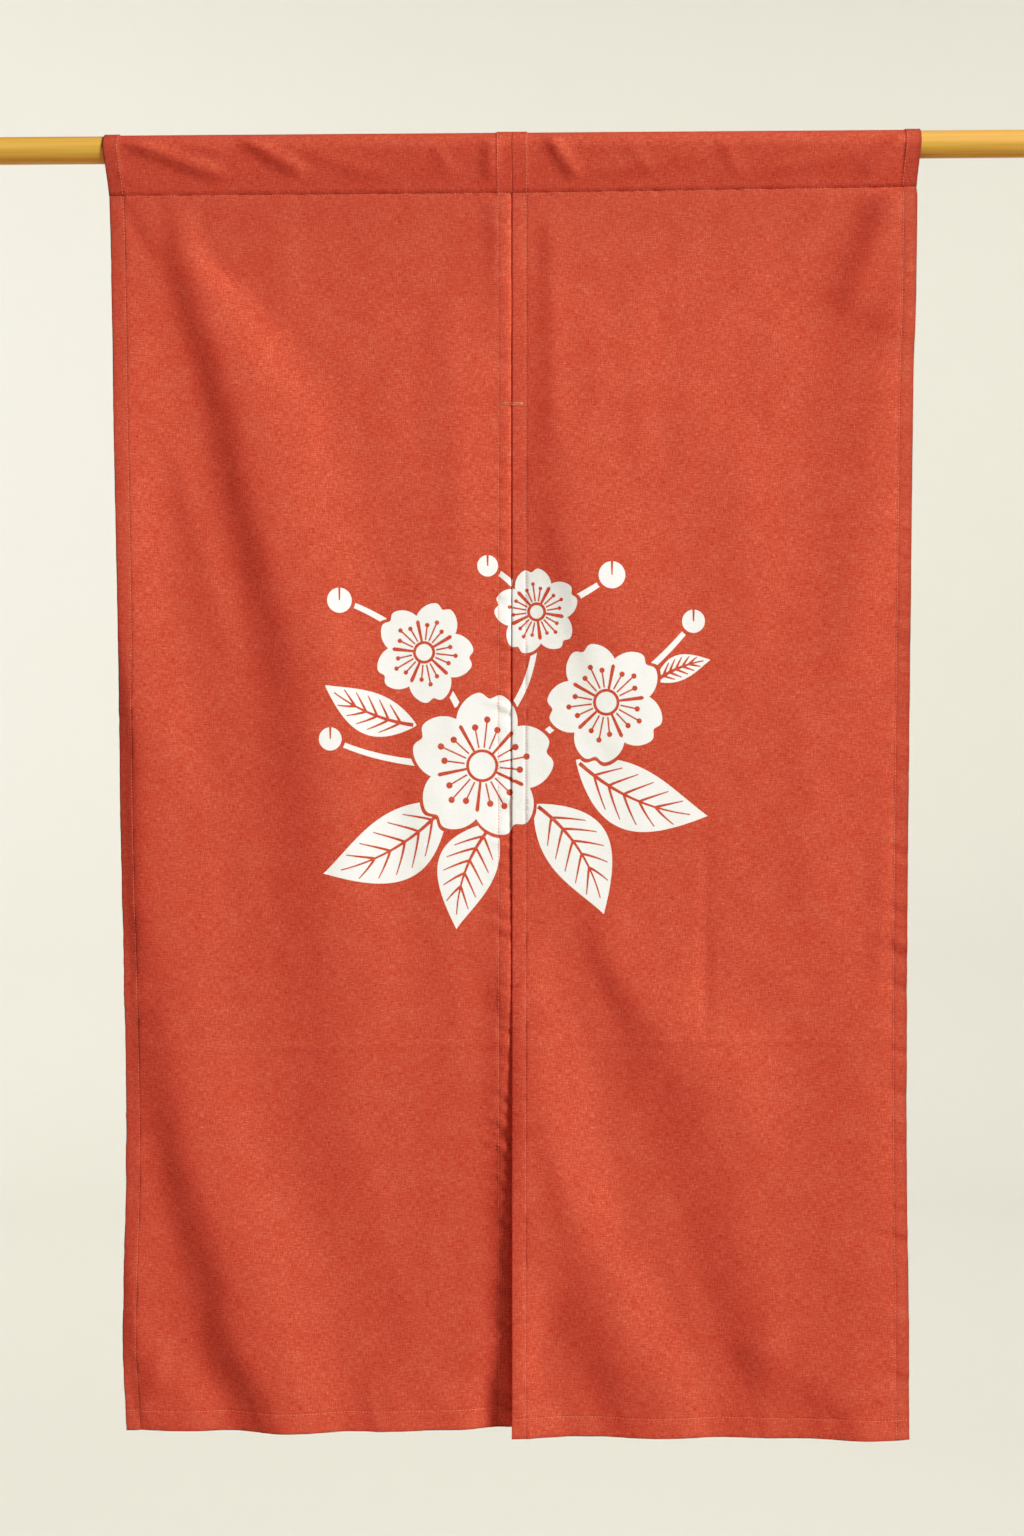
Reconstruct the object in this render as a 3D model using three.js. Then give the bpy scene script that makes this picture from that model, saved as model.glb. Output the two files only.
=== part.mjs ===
import * as THREE from "three";

// A noren: a split doorway curtain of two cloth panels that hang from one round wooden rod.
// Millimetres. X runs along the rod, Y points away from the viewer, Z points up.
// The origin is the centre of the rod's left end face.
// On a panel, "across" is measured along the cloth from its left edge and "drop" down from the
// rod's axis. "depth" is how far the cloth stands towards the viewer from the rod's plane.

// Rod
const ROD_DIAMETER = 28;
const ROD_LENGTH = 1200;
const ROD_SIDES = 32;

// Cloth
const CLOTH = 1.5;
const HEM_EXTRA = 0.9;
const SIDE_HEM = 15.6;
const LOWER_HEM = 22;
const HEM_STEP = 1;
const ROD_GAP = 0.3;
const PANEL_GAP = 0.3;
const SLIT_X = ROD_LENGTH / 2;

// Mesh
const INNER_COLUMNS = 24;
const INNER_ROWS = 31;
const POCKET_ARC_STEPS = 12;
const ARC_LENGTH_STEPS = 84;

const CLOTH_RED = 0xc8523c;
const ROD_HONEY = 0xd9a24c;

// A fold is a ridge towards the viewer that runs down the cloth. Each row gives, at one drop,
// the place of its crest, the reach of its left and right flanks, and its height.
// A negative height sends the cloth back.
const LEFT_PANEL = {
  name: "left_panel",
  width: 424.2,
  outerEdge: "left",
  seam: { left: 46.5, right: 46 },
  lowerEdge: { left: 1338.5, right: 1335.5 },
  inset: [
    { drop: 0, inset: 0.9 },
    { drop: 47, inset: 4.3 },
    { drop: 155, inset: 7.2 },
    { drop: 260, inset: 9.2 },
    { drop: 470, inset: 13.1 },
    { drop: 680, inset: 13.8 },
    { drop: 890, inset: 17.4 },
    { drop: 1000, inset: 19.2 },
    { drop: 1100, inset: 18.4 },
    { drop: 1250, inset: 15 },
    { drop: 1338, inset: 19.1 },
  ],
  folds: {
    shoulder: [
      { drop: 46, across: 69, left: 16, right: 21, height: 0 },
      { drop: 115, across: 84, left: 34, right: 32, height: 6 },
      { drop: 155, across: 100, left: 44, right: 66, height: 8.8 },
      { drop: 260, across: 137, left: 56, right: 122, height: 11.9 },
      { drop: 365, across: 159, left: 57, right: 128, height: 12.7 },
      { drop: 470, across: 186, left: 62, right: 112, height: 12.5 },
      { drop: 570, across: 212, left: 74, right: 98, height: 11 },
      { drop: 730, across: 228, left: 78, right: 92, height: 8.3 },
      { drop: 885, across: 241, left: 74, right: 92, height: 5.5 },
      { drop: 1040, across: 251, left: 68, right: 84, height: 3 },
      { drop: 1200, across: 258, left: 64, right: 84, height: 0 },
    ],
    outerSweep: [
      { drop: 80, across: -3, left: 20, right: 52, height: 0 },
      { drop: 260, across: -2, left: 20, right: 74, height: 7 },
      { drop: 375, across: 0, left: 20, right: 68, height: 8.5 },
      { drop: 500, across: 6, left: 30, right: 74, height: 8 },
      { drop: 560, across: 18, left: 34, right: 80, height: 8 },
      { drop: 625, across: 30, left: 40, right: 78, height: 8.5 },
      { drop: 750, across: 36, left: 44, right: 90, height: 6.5 },
      { drop: 810, across: 44, left: 48, right: 95, height: 6.5 },
      { drop: 875, across: 54, left: 50, right: 95, height: 7 },
      { drop: 935, across: 60, left: 56, right: 100, height: 9 },
      { drop: 1000, across: 70, left: 60, right: 106, height: 11.5 },
      { drop: 1060, across: 84, left: 60, right: 112, height: 13 },
      { drop: 1125, across: 108, left: 68, right: 116, height: 15.5 },
      { drop: 1186, across: 131, left: 74, right: 118, height: 16.5 },
      { drop: 1250, across: 143, left: 70, right: 114, height: 17.5 },
      { drop: 1300, across: 167, left: 66, right: 108, height: 16.5 },
      { drop: 1340, across: 178, left: 64, right: 104, height: 15 },
    ],
    lowerCorner: [
      { drop: 1090, across: 2, left: 16, right: 36, height: 0 },
      { drop: 1190, across: 11, left: 18, right: 38, height: 3 },
      { drop: 1255, across: 25, left: 28, right: 46, height: 4 },
      { drop: 1310, across: 58, left: 54, right: 52, height: 5.5 },
      { drop: 1340, across: 64, left: 56, right: 48, height: 5 },
    ],
    outerCurl: [
      { drop: 640, across: 0, left: 20, right: 26, height: 0 },
      { drop: 750, across: 0, left: 20, right: 26, height: -3 },
      { drop: 890, across: 0, left: 20, right: 26, height: -3 },
      { drop: 1060, across: 0, left: 20, right: 26, height: 0 },
    ],
    hemWave: [
      { drop: 1220, across: 272, left: 42, right: 60, height: 0 },
      { drop: 1340, across: 282, left: 42, right: 66, height: 6 },
    ],
    hemRidge: [
      { drop: 47, across: 408, left: 20, right: 42, height: 0 },
      { drop: 62, across: 408, left: 20, right: 42, height: 2.2 },
      { drop: 120, across: 411, left: 21, right: 42, height: 2.2 },
      { drop: 200, across: 414, left: 22, right: 42, height: 0 },
    ],
    innerSwing: [
      { drop: 50, across: 424, left: 60, right: 20, height: 0 },
      { drop: 115, across: 424, left: 60, right: 20, height: 0.5 },
      { drop: 187, across: 424, left: 66, right: 20, height: -1 },
      { drop: 260, across: 424, left: 72, right: 20, height: -3 },
      { drop: 780, across: 424, left: 70, right: 20, height: -3 },
      { drop: 1000, across: 424, left: 60, right: 20, height: -3 },
      { drop: 1125, across: 424, left: 50, right: 20, height: -4 },
      { drop: 1250, across: 424, left: 50, right: 20, height: -9 },
      { drop: 1340, across: 424, left: 56, right: 20, height: -13 },
    ],
  },
};

const RIGHT_PANEL = {
  name: "right_panel",
  width: 420.6,
  outerEdge: "right",
  seam: { left: 46, right: 42.5 },
  lowerEdge: { left: 1341.4, right: 1338.8 },
  inset: [
    { drop: 0, inset: 0.5 },
    { drop: 44, inset: 3.2 },
    { drop: 160, inset: 5.2 },
    { drop: 260, inset: 6.7 },
    { drop: 470, inset: 7.8 },
    { drop: 780, inset: 10.2 },
    { drop: 990, inset: 11 },
    { drop: 1100, inset: 10.5 },
    { drop: 1200, inset: 9 },
    { drop: 1341, inset: 8 },
  ],
  folds: {
    outerShoulder: [
      { drop: 46, across: 405, left: 30, right: 30, height: 0 },
      { drop: 70, across: 402, left: 60, right: 50, height: 4 },
      { drop: 125, across: 400, left: 92, right: 70, height: 7.5 },
      { drop: 190, across: 398, left: 98, right: 80, height: 7.5 },
      { drop: 260, across: 394, left: 95, right: 80, height: 6.5 },
      { drop: 375, across: 384, left: 80, right: 70, height: 5 },
      { drop: 470, across: 362, left: 46, right: 58, height: 4 },
      { drop: 570, across: 352, left: 37, right: 58, height: 0 },
    ],
    seamRidge: [
      { drop: 60, across: 40, left: 22, right: 60, height: 0 },
      { drop: 120, across: 46, left: 26, right: 95, height: 2.2 },
      { drop: 190, across: 52, left: 48, right: 100, height: 2.6 },
      { drop: 380, across: 54, left: 52, right: 100, height: 2.6 },
      { drop: 520, across: 56, left: 52, right: 90, height: 0 },
    ],
    softRise: [
      { drop: 350, across: 64, left: 42, right: 126, height: 0 },
      { drop: 427, across: 72, left: 42, right: 126, height: 4 },
      { drop: 489, across: 85, left: 42, right: 126, height: 4 },
      { drop: 550, across: 100, left: 42, right: 126, height: 3 },
      { drop: 640, across: 115, left: 42, right: 126, height: 0 },
    ],
    middleSweep: [
      { drop: 750, across: 92, left: 36, right: 116, height: 0 },
      { drop: 832, across: 108, left: 38, right: 120, height: 5 },
      { drop: 885, across: 138, left: 48, right: 126, height: 8 },
      { drop: 947, across: 188, left: 86, right: 134, height: 10 },
      { drop: 1040, across: 234, left: 84, right: 126, height: 7.8 },
      { drop: 1145, across: 260, left: 82, right: 116, height: 8.6 },
      { drop: 1200, across: 268, left: 70, right: 116, height: 10 },
      { drop: 1250, across: 290, left: 76, right: 112, height: 9.5 },
      { drop: 1300, across: 342, left: 90, right: 90, height: 9.5 },
      { drop: 1341, across: 368, left: 96, right: 70, height: 9.5 },
    ],
    innerSweep: [
      { drop: 1005, across: 38, left: 26, right: 52, height: 0 },
      { drop: 1041, across: 47, left: 28, right: 62, height: 3 },
      { drop: 1094, across: 66, left: 38, right: 64, height: 6 },
      { drop: 1146, across: 83, left: 52, right: 68, height: 8 },
      { drop: 1198, across: 102, left: 76, right: 80, height: 11 },
      { drop: 1250, across: 128, left: 86, right: 80, height: 12 },
      { drop: 1292, across: 145, left: 72, right: 88, height: 12 },
      { drop: 1341, across: 149, left: 58, right: 84, height: 9 },
    ],
    innerSwing: [
      { drop: 50, across: 0, left: 20, right: 60, height: 0 },
      { drop: 115, across: 0, left: 20, right: 60, height: 0.5 },
      { drop: 187, across: 0, left: 20, right: 60, height: -1 },
      { drop: 260, across: 0, left: 20, right: 64, height: -3 },
      { drop: 600, across: 0, left: 20, right: 64, height: -2 },
      { drop: 780, across: 2, left: 24, right: 60, height: 1 },
      { drop: 885, across: 10, left: 36, right: 68, height: 6 },
      { drop: 1000, across: 20, left: 60, right: 88, height: 12 },
      { drop: 1060, across: 15, left: 70, right: 102, height: 12 },
      { drop: 1123, across: 6, left: 60, right: 112, height: 12.5 },
      { drop: 1186, across: 0, left: 20, right: 66, height: 13 },
      { drop: 1235, across: 0, left: 20, right: 42, height: 10 },
      { drop: 1290, across: 0, left: 20, right: 48, height: 10 },
      { drop: 1341, across: 0, left: 20, right: 70, height: 12 },
    ],
    lowerCorner: [
      { drop: 862, across: 372, left: 58, right: 70, height: 0 },
      { drop: 930, across: 380, left: 95, right: 70, height: 5 },
      { drop: 1000, across: 382, left: 118, right: 75, height: 7 },
      { drop: 1100, across: 386, left: 115, right: 80, height: 9.5 },
      { drop: 1186, across: 389, left: 105, right: 85, height: 12.5 },
      { drop: 1250, across: 392, left: 108, right: 85, height: 12.5 },
      { drop: 1300, across: 398, left: 96, right: 80, height: 10 },
      { drop: 1341, across: 402, left: 90, right: 70, height: 8 },
    ],
  },
};

// Smooth value of one column of a table at a drop. It is held level past the table's two ends.
function valueAt(rows, column, drop) {
  const last = rows.length - 1;
  if (drop <= rows[0].drop) {
    return rows[0][column];
  }
  if (drop >= rows[last].drop) {
    return rows[last][column];
  }
  const i = rows.findIndex((row) => row.drop > drop) - 1;
  const slopeAt = (k) => {
    const before = rows[Math.max(k - 1, 0)];
    const after = rows[Math.min(k + 1, last)];
    return (after[column] - before[column]) / (after.drop - before.drop);
  };
  const span = rows[i + 1].drop - rows[i].drop;
  const u = (drop - rows[i].drop) / span;
  const ease = u * u * (3 - 2 * u);
  const leaveStart = u * (1 - u) * (1 - u) * span * slopeAt(i);
  const reachEnd = u * u * (u - 1) * span * slopeAt(i + 1);
  return THREE.MathUtils.lerp(rows[i][column], rows[i + 1][column], ease) + leaveStart + reachEnd;
}

// Height of one fold: a soft ridge with its own reach on each flank.
function foldDepth(rows, across, drop) {
  const height = valueAt(rows, "height", drop);
  const offset = across - valueAt(rows, "across", drop);
  const reach = valueAt(rows, offset < 0 ? "left" : "right", drop);
  const share = Math.min(Math.abs(offset) / reach, 1);
  return 0.5 * height * (1 + Math.cos(Math.PI * share));
}

// The pocket's seam and the panel's lower edge both run a little out of level.
function dropAlong(line, panel, across) {
  return THREE.MathUtils.lerp(line.left, line.right, across / panel.width);
}

// How far the panel stands towards the viewer. It is flat at the pocket's seam and above.
function panelDepth(panel, across, drop) {
  if (drop <= dropAlong(panel.seam, panel, across)) {
    return 0;
  }
  const folds = Object.values(panel.folds);
  return folds.reduce((depth, rows) => depth + foldDepth(rows, across, drop), 0);
}

// X of a place on the cloth. The cloth keeps its length across, so its folds draw it in, and
// what they leave over is taken up evenly, to meet the outer edge's own line.
function placeAcross(panel, across, drop) {
  const step = panel.width / ARC_LENGTH_STEPS;
  let before = 0;
  let total = 0;
  for (let i = 0; i < ARC_LENGTH_STEPS; i += 1) {
    const rise = panelDepth(panel, (i + 1) * step, drop) - panelDepth(panel, i * step, drop);
    const run = Math.sqrt(step * step - rise * rise);
    before += run * THREE.MathUtils.clamp(across / step - i, 0, 1);
    total += run;
  }
  const span = panel.width - valueAt(panel.inset, "inset", drop);
  const slitEdge = PANEL_GAP / 2;
  const left = panel.outerEdge === "left" ? SLIT_X - slitEdge - span : SLIT_X + slitEdge;
  return left + (before / total) * span;
}

// The stitched line of a hem is a pair of close columns or rows, where the cloth gets thicker.
function panelColumns(panel) {
  const columns = [0, SIDE_HEM - HEM_STEP / 2];
  const start = SIDE_HEM + HEM_STEP / 2;
  const span = panel.width - 2 * start;
  for (let i = 0; i <= INNER_COLUMNS; i += 1) {
    columns.push(start + (span * i) / INNER_COLUMNS);
  }
  columns.push(panel.width - SIDE_HEM + HEM_STEP / 2, panel.width);
  return columns;
}

function panelDrops(panel, across) {
  const drops = [];
  const seam = dropAlong(panel.seam, panel, across);
  const edge = dropAlong(panel.lowerEdge, panel, across);
  const hemTop = edge - LOWER_HEM - HEM_STEP / 2;
  for (let i = 0; i <= INNER_ROWS; i += 1) {
    drops.push(THREE.MathUtils.lerp(seam, hemTop, i / INNER_ROWS));
  }
  drops.push(hemTop + HEM_STEP, edge);
  return drops;
}

// Cloth behind the middle of the sheet: more where a hem is turned to the back.
function backThickness(panel, across, drop) {
  const inSideHem = Math.min(across, panel.width - across) < SIDE_HEM;
  const inLowerHem = dropAlong(panel.lowerEdge, panel, across) - drop < LOWER_HEM;
  return CLOTH / 2 + (inSideHem || inLowerHem ? HEM_EXTRA : 0);
}

// Section of the pocket in the YZ plane: straight from the seam to the rod, round over it, and
// straight back. The wall's outer and inner faces share the angle at which they leave the seam.
function pocketSection(seamDrop) {
  const innerRadius = ROD_DIAMETER / 2 + ROD_GAP;
  const outerRadius = innerRadius + CLOTH;
  const seamReach = Math.hypot(CLOTH / 2, seamDrop);
  const lean = Math.asin(outerRadius / seamReach) - Math.atan2(CLOTH / 2, seamDrop);
  const arc = (radius) => {
    const points = [];
    for (let i = 0; i <= POCKET_ARC_STEPS; i += 1) {
      const angle = THREE.MathUtils.lerp(Math.PI + lean, -lean, i / POCKET_ARC_STEPS);
      points.push([radius * Math.cos(angle), radius * Math.sin(angle)]);
    }
    return points;
  };
  const outerArc = arc(outerRadius);
  const halfway = ([y, z]) => [(y + (Math.sign(y) * CLOTH) / 2) / 2, (z - seamDrop) / 2];
  const outer = [halfway(outerArc[0]), ...outerArc, halfway(outerArc[POCKET_ARC_STEPS])];
  const inner = [[0, -innerRadius / Math.sin(lean)], ...arc(innerRadius)];
  return { outer, inner };
}

// A panel's section at one column, as points [y, z]: the outline goes up the front, over the rod
// and down the back, and the hole is the pocket's inner face.
function panelSection(panel, across) {
  const drops = panelDrops(panel, across);
  const pocket = pocketSection(drops[0]);
  const front = drops.map((drop) => [-CLOTH / 2 - panelDepth(panel, across, drop), -drop]);
  const back = drops.map((drop, row) => {
    const thickness = row === 0 ? CLOTH / 2 : backThickness(panel, across, drop);
    return [thickness - panelDepth(panel, across, drop), -drop];
  });
  return { outline: [...front.reverse(), ...pocket.outer, ...back], hole: pocket.inner };
}

// A panel is its section carried across from edge to edge, with the pocket's inner face left
// open at both ends of the rod, and a flat cap round that opening at each side edge.
function panelGeometry(panel) {
  const columns = panelColumns(panel);
  const sections = columns.map((across) => panelSection(panel, across));
  const outlineCount = sections[0].outline.length;
  const holeCount = sections[0].hole.length;
  const count = outlineCount + holeCount;

  const positions = [];
  sections.forEach(({ outline, hole }, column) => {
    [...outline, ...hole].forEach(([y, z]) => {
      positions.push(placeAcross(panel, columns[column], Math.max(-z, 0)), y, z);
    });
  });

  const index = [];
  const bridge = (column, from, to) => {
    const a = column * count + from;
    const b = column * count + to;
    index.push(a, a + count, b, b, a + count, b + count);
  };
  for (let column = 0; column < columns.length - 1; column += 1) {
    for (let i = 0; i < outlineCount; i += 1) {
      bridge(column, i, (i + 1) % outlineCount);
    }
    for (let i = 0; i < holeCount; i += 1) {
      bridge(column, outlineCount + ((i + 1) % holeCount), outlineCount + i);
    }
  }

  const cap = (column, facesLeft) => {
    const toVectors = (points) => points.map(([y, z]) => new THREE.Vector2(y, z));
    const outline = toVectors(sections[column].outline);
    const hole = toVectors(sections[column].hole);
    const points = [...outline, ...hole];
    const faces = THREE.ShapeUtils.triangulateShape(outline, [hole]);
    faces.forEach((face) => {
      const clockwise = THREE.ShapeUtils.isClockWise(face.map((i) => points[i]));
      const corners = face.map((i) => column * count + i);
      index.push(...(clockwise === facesLeft ? corners : corners.reverse()));
    });
  };
  cap(0, true);
  cap(columns.length - 1, false);

  const geometry = new THREE.BufferGeometry();
  geometry.setAttribute("position", new THREE.Float32BufferAttribute(positions, 3));
  geometry.setIndex(index);
  geometry.computeVertexNormals();
  return geometry;
}

function makePanel(panel) {
  const material = new THREE.MeshStandardMaterial({ color: CLOTH_RED, roughness: 0.9, metalness: 0 });
  const mesh = new THREE.Mesh(panelGeometry(panel), material);
  mesh.name = panel.name;
  return mesh;
}

function makeRod() {
  const geometry = new THREE.CylinderGeometry(
    ROD_DIAMETER / 2,
    ROD_DIAMETER / 2,
    ROD_LENGTH,
    ROD_SIDES,
  );
  const material = new THREE.MeshStandardMaterial({ color: ROD_HONEY, roughness: 0.4, metalness: 0 });
  const mesh = new THREE.Mesh(geometry, material);
  mesh.name = "rod";
  mesh.rotation.z = Math.PI / 2;
  mesh.position.x = ROD_LENGTH / 2;
  return mesh;
}

const noren = new THREE.Group();
noren.add(makeRod(), makePanel(LEFT_PANEL), makePanel(RIGHT_PANEL));

export default noren;
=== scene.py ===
import itertools
import math

import bpy
import numpy as np
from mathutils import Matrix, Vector
from mathutils.geometry import delaunay_2d_cdt


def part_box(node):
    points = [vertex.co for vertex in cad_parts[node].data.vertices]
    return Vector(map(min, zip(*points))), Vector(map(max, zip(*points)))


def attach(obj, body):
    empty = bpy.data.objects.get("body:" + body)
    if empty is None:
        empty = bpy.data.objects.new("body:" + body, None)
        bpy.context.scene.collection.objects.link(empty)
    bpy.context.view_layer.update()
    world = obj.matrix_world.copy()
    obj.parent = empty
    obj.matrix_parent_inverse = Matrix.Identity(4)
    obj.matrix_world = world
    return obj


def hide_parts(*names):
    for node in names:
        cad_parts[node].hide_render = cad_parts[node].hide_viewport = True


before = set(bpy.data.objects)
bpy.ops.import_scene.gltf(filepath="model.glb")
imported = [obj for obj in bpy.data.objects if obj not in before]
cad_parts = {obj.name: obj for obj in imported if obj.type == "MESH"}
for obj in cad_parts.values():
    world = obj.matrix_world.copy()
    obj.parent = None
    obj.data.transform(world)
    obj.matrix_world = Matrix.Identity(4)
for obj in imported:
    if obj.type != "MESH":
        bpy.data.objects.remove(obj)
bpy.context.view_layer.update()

# A noren of two cloth panels on a round wooden rod. Blender works in metres, and the forms of the
# cloth are given in millimetres, as the pattern of a curtain is. X runs along the rod, Y points away
# from the viewer and Z up, from the centre of the rod's left end face.
# "across" runs along a panel's cloth from its left edge, "drop" down from the rod's axis, and
# "depth" is how far the cloth stands towards the viewer.
MM = 0.001

# Cloth, in millimetres
CLOTH = 0.5
HEM_EXTRA = 1.0
HEM_SHOULDER = 0.9
EDGE_ROUND = 0.8
SIDE_HEM = 15.6
LOWER_HEM = 22.0
TURN_IN = 4.0
ROD_GAP = 0.3
PANEL_GAP = 0.04

# Rod, in millimetres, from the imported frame
rod_low, rod_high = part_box("rod")
ROD_RADIUS = (rod_high.z - rod_low.z) / 2 / MM
ROD_LENGTH = (rod_high.x - rod_low.x) / MM
SLIT_X = ROD_LENGTH / 2


def table(columns, *rows):
    """A short table as a dict from column name to its values."""
    return dict(zip(columns.split(), np.array(rows, float).T))


def fold(*rows):
    """A ridge towards the viewer that runs down the cloth, or a trough where its height is negative.

    Each row gives, at one drop, the place of its crest, the reach of its flanks, and its height.
    """
    return table("drop across left right height", *rows)


# An inset is how much narrower than its cloth the panel hangs. Creases are soft ridges on top of the
# folds, or troughs where the height is negative: across and drop of both ends, width and height.
LEFT_INSET = table(
    "drop inset",
    (0, 0.9), (47, 4.3), (155, 7.2), (260, 9.2), (470, 13.1), (680, 13.8), (890, 17.4), (1000, 19.2),
    (1100, 18.4), (1250, 15), (1338, 19.1),
)
LEFT_FOLDS = {
    "shoulder": fold(
        (46, 69, 16, 21, 0), (115, 84, 34, 32, 6), (155, 100, 44, 66, 8.8), (260, 137, 56, 122, 11.9),
        (365, 159, 57, 128, 12.7), (470, 186, 62, 112, 12.5), (570, 212, 74, 98, 11),
        (730, 228, 78, 92, 8.3), (885, 241, 74, 92, 5.5), (1040, 251, 68, 84, 3), (1200, 258, 64, 84, 0),
    ),
    "outer_sweep": fold(
        (80, -3, 20, 52, 0), (260, -2, 20, 74, 7), (375, 0, 20, 68, 8.5), (500, 6, 30, 74, 8),
        (560, 18, 34, 80, 8), (625, 30, 40, 78, 8.5), (750, 36, 44, 90, 6.5), (810, 44, 48, 95, 6.5),
        (875, 54, 50, 95, 7), (935, 60, 56, 100, 9), (1000, 70, 60, 106, 11.5), (1060, 84, 60, 112, 13),
        (1125, 108, 68, 116, 15.5), (1186, 131, 74, 118, 16.5), (1250, 143, 70, 114, 17.5),
        (1300, 167, 66, 108, 16.5), (1340, 178, 64, 104, 15),
    ),
    "lower_corner": fold(
        (1090, 2, 16, 36, 0), (1190, 11, 18, 38, 3), (1255, 25, 28, 46, 4), (1310, 58, 54, 52, 5.5),
        (1340, 64, 56, 48, 5),
    ),
    "outer_curl": fold(
        (640, 0, 20, 26, 0), (750, 0, 20, 26, -3), (890, 0, 20, 26, -3), (1060, 0, 20, 26, 0),
    ),
    "hem_wave": fold(
        (1220, 272, 42, 60, 0), (1340, 282, 42, 66, 6),
    ),
    "hem_ridge": fold(
        (47, 408, 20, 42, 0), (62, 408, 20, 42, 2.2), (120, 411, 21, 42, 2.2), (200, 414, 22, 42, 0),
    ),
    "inner_swing": fold(
        (50, 424, 60, 20, 0), (115, 424, 60, 20, 0.5), (187, 424, 66, 20, -1), (260, 424, 72, 20, -3),
        (780, 424, 70, 20, -3), (1000, 424, 60, 20, -3), (1125, 424, 50, 20, -4), (1250, 424, 50, 20, -9),
        (1340, 424, 56, 20, -13),
    ),
}

LEFT_CREASES = [
    (30, 938, 215, 935, 3.0, 1.0), (180, 935, 408, 930, 3.0, 1.0), (60, 300, 120, 520, 12, 1.2),
    (16, 60, 44, 118, 9, -1.6), (300, 1180, 345, 1325, 22, 1.4), (330, 640, 352, 900, 20, 1.0),
    (352, 150, 372, 420, 18, 1.0), (250, 1020, 300, 1180, 18, 1.1), (45, 1255, 20, 1325, 9, 1.5),
    (424, 800, 424, 1420, 23, 7.0), (424, 1275, 424, 1420, 48, -6.0), (424, 1275, 424, 1420, 10, 3.0),
    (0, 1350, 424, 1348, 24, 2.0),
]
LEFT_HEADER = [
    (27, -5, 124, 30, 7, 4.2), (10, 22, 44, 44, 4.5, 1.4), (146, -8, 206, 26, 7, 3.8),
    (72, -8, 128, 8, 5, 1.0), (212, 6, 296, 34, 7, 1.7), (296, 36, 336, 0, 7, 1.3),
    (344, 0, 366, 40, 6, 1.5), (403, -6, 402, 46, 8, 3.2),
]

RIGHT_INSET = table(
    "drop inset",
    (0, 0.5), (44, 3.2), (160, 5.2), (260, 6.7), (470, 7.8), (780, 10.2), (990, 11), (1100, 10.5),
    (1200, 9), (1341, 8),
)
RIGHT_FOLDS = {
    "outer_shoulder": fold(
        (46, 405, 30, 30, 0), (70, 402, 60, 50, 4), (125, 400, 92, 70, 7.5), (190, 398, 98, 80, 7.5),
        (260, 394, 95, 80, 6.5), (375, 384, 80, 70, 5), (470, 362, 46, 58, 4), (570, 352, 37, 58, 0),
    ),
    "seam_ridge": fold(
        (60, 40, 22, 60, 0), (120, 46, 26, 95, 2.2), (190, 52, 48, 100, 2.6), (380, 54, 52, 100, 2.6),
        (520, 56, 52, 90, 0),
    ),
    "soft_rise": fold(
        (350, 64, 42, 126, 0), (427, 72, 42, 126, 4), (489, 85, 42, 126, 4), (550, 100, 42, 126, 3),
        (640, 115, 42, 126, 0),
    ),
    "middle_sweep": fold(
        (750, 92, 36, 116, 0), (832, 108, 38, 120, 5), (885, 138, 48, 126, 8), (947, 188, 86, 134, 10),
        (1040, 234, 84, 126, 7.8), (1145, 260, 82, 116, 8.6), (1200, 268, 70, 116, 10),
        (1250, 290, 76, 112, 9.5), (1300, 342, 90, 90, 9.5), (1341, 368, 96, 70, 9.5),
    ),
    "inner_sweep": fold(
        (1005, 38, 26, 52, 0), (1041, 47, 28, 62, 3), (1094, 66, 38, 64, 6), (1146, 83, 52, 68, 8),
        (1198, 102, 76, 80, 11), (1250, 128, 86, 80, 12), (1292, 145, 72, 88, 12), (1341, 149, 58, 84, 9),
    ),
    "inner_swing": fold(
        (50, 0, 20, 60, 0), (115, 0, 20, 60, 0.5), (187, 0, 20, 60, -1), (260, 0, 20, 64, -3),
        (600, 0, 20, 64, -2), (780, 2, 24, 60, 1), (885, 10, 36, 68, 6), (1000, 20, 60, 88, 12),
        (1060, 15, 70, 102, 12), (1123, 6, 60, 112, 12.5), (1186, 0, 20, 66, 13), (1235, 0, 20, 42, 10),
        (1290, 0, 20, 48, 10), (1341, 0, 20, 70, 12),
    ),
    "lower_corner": fold(
        (862, 372, 58, 70, 0), (930, 380, 95, 70, 5), (1000, 382, 118, 75, 7), (1100, 386, 115, 80, 9.5),
        (1186, 389, 105, 85, 12.5), (1250, 392, 108, 85, 12.5), (1300, 398, 96, 80, 10),
        (1341, 402, 90, 70, 8),
    ),
}

RIGHT_CREASES = [
    (40, 927, 210, 926, 3.0, 1.0), (190, 926, 385, 926, 3.0, 1.0), (206, 725, 207, 915, 6, -1.4),
    (336, 1323, 400, 1300, 6.5, -3.2), (240, 300, 262, 520, 24, 1.2), (300, 560, 318, 800, 22, 1.1),
    (120, 120, 140, 330, 20, 1.0), (170, 1150, 222, 1290, 16, 1.2), (396, 700, 388, 900, 9, 1.0),
    (250, 1000, 300, 1100, 18, 1.0), (0, 62, 0, 140, 14, 1.4), (41, 80, 43, 290, 11, 1.5),
    (396, 44, 352, 165, 19, 5.0), (432, 24, 408, 200, 40, 6.5), (262, 1230, 276, 1360, 30, 5.0),
    (0, 1352, 421, 1354, 24, 3.0),
]
RIGHT_HEADER = [
    (38, -8, 68, 33, 7, 4.0), (80, 32, 196, 10, 7, 1.7), (122, 0, 150, 38, 6, 1.2),
    (216, -4, 240, 38, 6, 1.6), (262, 30, 366, 8, 7, 1.8), (350, 44, 404, -8, 7, 3.0),
]

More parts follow.
